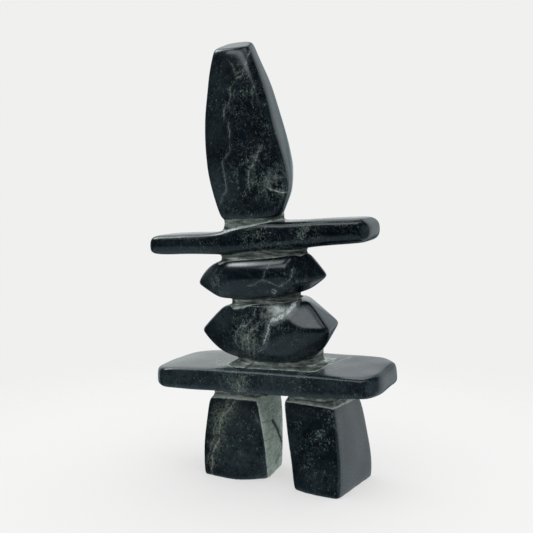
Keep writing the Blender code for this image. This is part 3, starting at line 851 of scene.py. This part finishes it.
    # the rough parts: dry stone with broad, soft tool marks, dust on the light ones and soot in the dark
    edge = sums(tree, "ADD", marks["undercut"]["Fac"], swing(tree, grain(tree, points, 3.0, 3, 0.6), 0.7))
    rough = softStep(tree, edge, -0.10, 0.25)
    along = mapped(tree, points, scale=(0.16, 0.16, 1.0))
    streaks = grain(tree, along, serpentine["streaks"], 5, 0.6)
    grit = grain(tree, points, serpentine["grit"], 4, 0.7)
    mottle = grain(tree, points, 5.0, 3, 0.6)
    light = sums(tree, "MULTIPLY_ADD", marks["pale"]["Fac"], 0.10, streaks)
    dusty = sums(tree, "MULTIPLY_ADD", marks["pale"]["Fac"], 0.08, grit)
    dry = over(tree, softStep(tree, light, 0.44, 0.60), serpentine["dry"], serpentine["tooled"])
    for value, start, stop, much, tone in (
            (light, 0.58, 0.70, 0.8, "dustAndEdgeHighlight"), (mottle, 0.50, 0.64, 0.7, "dry"),
            (light, 0.47, 0.38, 0.9, "sootAndNotchShade"), (dusty, 0.62, 0.74, 0.6, "dustAndEdgeHighlight")):
        dry = over(tree, softStep(tree, value, start, stop, 0.0, much), dry, serpentine[tone])

    # the sawn faces are paler and even, with the saw's fine scores in them
    scoring = mapped(tree, points, rotation=(0.9, 0.0, 0.0), scale=(1.0, 0.12, 1.0))
    scores = grain(tree, scoring, 1.6, 3, 0.6)
    sawn = serpentine["sawn"]
    for value, start, stop, much, tone in (
            (mottle, 0.38, 0.66, 0.45, "tooled"), (grit, 0.50, 0.32, 0.7, "dry"),
            (scores, 0.48, 0.30, 0.55, "dry")):
        sawn = over(tree, softStep(tree, value, start, stop, 0.0, much), sawn, serpentine[tone])
    dry = over(tree, softStep(tree, marks["sawn"]["Fac"], 0.0, 0.5), dry, sawn)
    colour = over(tree, rough, colour, dry)

    # the pale line where the polish ends, with a painted highlight that makes it lighter where the surface
    # faces up, and the slips, painted dark
    facingUpHighlight = put(tree, "SeparateXYZ", {"Vector": put(tree, "NewGeometry", {}).outputs["Normal"]}).outputs["Z"]
    rim = softStep(tree, sums(tree, "ABSOLUTE", edge), 0.08, 0.55, 1.0, 0.0)
    # painted highlight: the pale rim is made stronger on what faces up, as if lit from above
    for value, start, stop, low, high in ((breaks, 0.32, 0.55, 0.25, 0.9), (facingUpHighlight, -0.35, 0.25, 0.10, 1.0)):
        rim = sums(tree, "MULTIPLY", rim, softStep(tree, value, start, stop, low, high))
    colour = over(tree, rim, colour, serpentine["dustAndEdgeHighlight"])
    # painted shade: the crack and the saw's slips get only the dark colour of shade in a notch, with no
    # groove
    notchShaded = grouped(tree, line, {"Mark": marks["notchShade"]["Vector"], "Wander": 0.0, "Breaks": 0.6})
    colour = over(tree, notchShaded, colour, serpentine["sootAndNotchShade"])

    # roughness: satin polish with duller figuring, and matt where it is undercut
    smoothest, uneven = serpentine["polish"]
    polish = grain(tree, points, serpentine["sanding"], 4, 0.65)
    polish = sums(tree, "MULTIPLY_ADD", polish, uneven, smoothest)
    figured = sums(tree, "MULTIPLY", sums(tree, "MAXIMUM", veined, small), serpentine["dulled"])
    matt = softStep(tree, rough, 0.0, 1.0, 0.0, serpentine["matt"])
    satin = sums(tree, "ADD", sums(tree, "ADD", polish, figured), matt)

    # relief: grit and streaks in the rough parts, and next to nothing on the polish
    height = sums(tree, "MULTIPLY", sums(tree, "ADD", sums(tree, "MULTIPLY", grit, 0.6), streaks), rough)
    height = sums(tree, "ADD", height, sums(tree, "MULTIPLY", fine, 0.07))
    relief = put(tree, "Bump", {"Height": height, "Strength": 0.8, "Distance": serpentine["relief"]})
    connect(tree, tree.nodes["Principled BSDF"], {
        "Base Color": colour, "Roughness": satin, "IOR": serpentine["ior"],
        "Normal": relief.outputs["Normal"]})
    return material


print("polishing the stone")
figure.data.materials.append(stoneMaterial())
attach(figure, "root")
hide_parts("carved_stone_figure")

studio = {
    "backdrop": (0.87, 0.87, 0.865, 1.0),  # the paper sweep, as the camera sees it
    "paper": (0.39, 0.39, 0.388, 1.0), "paperGlow": 0.485, "glowTint": (1.0, 1.0, 0.995, 1.0),
    "paperRadius": 0.42, "paperSides": 96, "paperFades": (0.17, 0.40),  # in metres
    "fill": (0.64, 1.16),  # the dull light from all round, and how much more comes from straight above
    "dark": 0.008,  # the unlit parts of the room
    # what the polish reflects: (towards, from this cosine, to this cosine, how bright)
    "walls": [((-0.57, 0.82, 0.07), 0.74, 0.98, 1.00), ((0.50, 0.78, -0.36), 0.86, 0.96, 0.80),
              ((0.50, 0.86, 0.05), 0.80, 0.96, 0.85), ((0.25, 0.86, 0.45), 0.88, 0.97, 0.85),
              ((0.12, -0.50, 0.86), 0.95, 0.99, 0.85),
              ((-0.62, -0.02, 0.78), 0.80, 0.97, 0.48), ((-0.71, -0.04, 0.70), 0.962, 0.995, 9.0),
              ((-0.42, 0.50, 0.76), 0.88, 0.98, 1.7), ((0.29, -0.14, 0.94), 0.94, 0.995, 1.6),
              ((-0.25, -0.25, -0.93), 0.60, 0.80, 0.42), ((0.30, 0.38, -0.87), 0.75, 0.92, 0.85),
              ((0.95, -0.10, -0.25), 0.60, 0.92, 0.40), ((-0.52, -0.09, 0.85), 0.978, 0.996, 3.2)],
    "darkTint": (0.45, 0.80, 1.0), "lightTint": (0.94, 1.0, 1.0),
    "lamp": {"place": (-0.14, -0.73, 1.02), "aim": (0.0, 0.0, 0.15), "size": (0.95, 0.42),
             "power": 3.3, "tint": (0.90, 0.97, 1.0)},
}


def addPaper():
    # a round sheet under the figure that fades into the backdrop away from it
    radius, sides = studio["paperRadius"], studio["paperSides"]
    turn = np.arange(sides) * 2 * math.pi / sides
    rim = np.stack([np.cos(turn) * radius, np.sin(turn) * radius, np.zeros(sides)], 1)
    paper = meshOf("paper", rim, [tuple(range(sides))])
    material = bpy.data.materials.new("palePaper")
    material.use_nodes = True
    tree = material.node_tree
    away = vectors(tree, "LENGTH", put(tree, "TexCoord", {}).outputs["Object"])["Value"]
    connect(tree, tree.nodes["Principled BSDF"], {
        "Base Color": studio["paper"], "Roughness": 0.7, "Specular IOR Level": 0.0,
        "Emission Color": studio["glowTint"], "Emission Strength": studio["paperGlow"],
        "Alpha": softStep(tree, away, *studio["paperFades"], 1.0, 0.0)})
    paper.data.materials.append(material)
    paper.visible_glossy = False  # the polish mirrors the room's own floor
    paper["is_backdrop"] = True


def addRoom():
    # The world. The camera sees the even backdrop, dull surfaces are lit by a fill that grows with the
    # ray's height, and the polish mirrors a dark room with bright walls and windows: each is a soft
    # step of the cosine between the ray and its direction, and the brightest of them counts.
    world = bpy.data.worlds.new("softRoom")
    world.use_nodes = True
    tree = world.node_tree
    direction = put(tree, "TexCoord", {}).outputs["Generated"]
    brightest = studio["dark"]
    for towards, start, stop, level in studio["walls"]:
        cosine = vectors(tree, "DOT_PRODUCT", direction, towards)["Value"]
        wall = softStep(tree, cosine, start, stop, 0.0, level)
        brightest = sums(tree, "MAXIMUM", brightest, wall)
    tint = over(tree, brightest, studio["darkTint"], studio["lightTint"])
    room = connect(tree, tree.nodes["Background"], {"Color": tint, "Strength": brightest})
    height = put(tree, "SeparateXYZ", {"Vector": direction}).outputs["Z"]
    level = {"Value": height, "To Min": studio["fill"][0], "To Max": sum(studio["fill"])}
    level = put(tree, "MapRange", level).outputs["Result"]
    fill = put(tree, "Background", {"Strength": level})
    backdrop = put(tree, "Background", {"Color": studio["backdrop"]})
    ray = put(tree, "LightPath", {}).outputs
    mirrored = put(tree, "MixShader", {0: ray["Is Glossy Ray"], 1: fill.outputs[0], 2: room.outputs[0]})
    seen = put(tree, "MixShader", {0: ray["Is Camera Ray"], 1: mirrored.outputs[0], 2: backdrop.outputs[0]})
    connect(tree, tree.nodes["World Output"], {"Surface": seen.outputs[0]})
    bpy.context.scene.world = world


def addSoftbox():
    # a broad lamp above the front, for a highlight on the polish only, so the paper keeps no hard shadow
    lamp = studio["lamp"]
    light = bpy.data.lights.new("softbox", "AREA")
    light.shape = "RECTANGLE"
    light.size, light.size_y = lamp["size"]
    light.energy = lamp["power"]
    light.color = lamp["tint"]
    made = bpy.data.objects.new("softbox", light)
    made.location = lamp["place"]
    made.rotation_mode = "QUATERNION"
    made.rotation_quaternion = (Vector(lamp["aim"]) - Vector(lamp["place"])).to_track_quat("-Z", "Y")
    made.visible_diffuse = False
    bpy.context.scene.collection.objects.link(made)


def addCamera():
    # Its place in drawn millimetres, its turn and tilt in degrees, and its focal length in pixels of a
    # square picture this many wide.
    view = {"place": (272.5, -557.5, 225.4), "turn": 26.55, "down": 7.0,
            "focalPixels": 900.0, "pixels": 533.0}
    camera = bpy.data.cameras.new("camera")
    camera.sensor_width = 36.0
    camera.lens = camera.sensor_width * view["focalPixels"] / view["pixels"]
    camera.clip_start, camera.clip_end = 0.01, 20.0
    made = bpy.data.objects.new("camera", camera)
    made.location = place(view["place"])
    made.rotation_euler = (math.radians(90 - view["down"]), 0, math.radians(view["turn"]))
    bpy.context.scene.collection.objects.link(made)
    bpy.context.scene.camera = made


print("setting up the paper, the room and the camera")
addPaper()
addRoom()
addSoftbox()
addCamera()
bpy.context.scene.view_settings.view_transform = "Standard"

low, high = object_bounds()
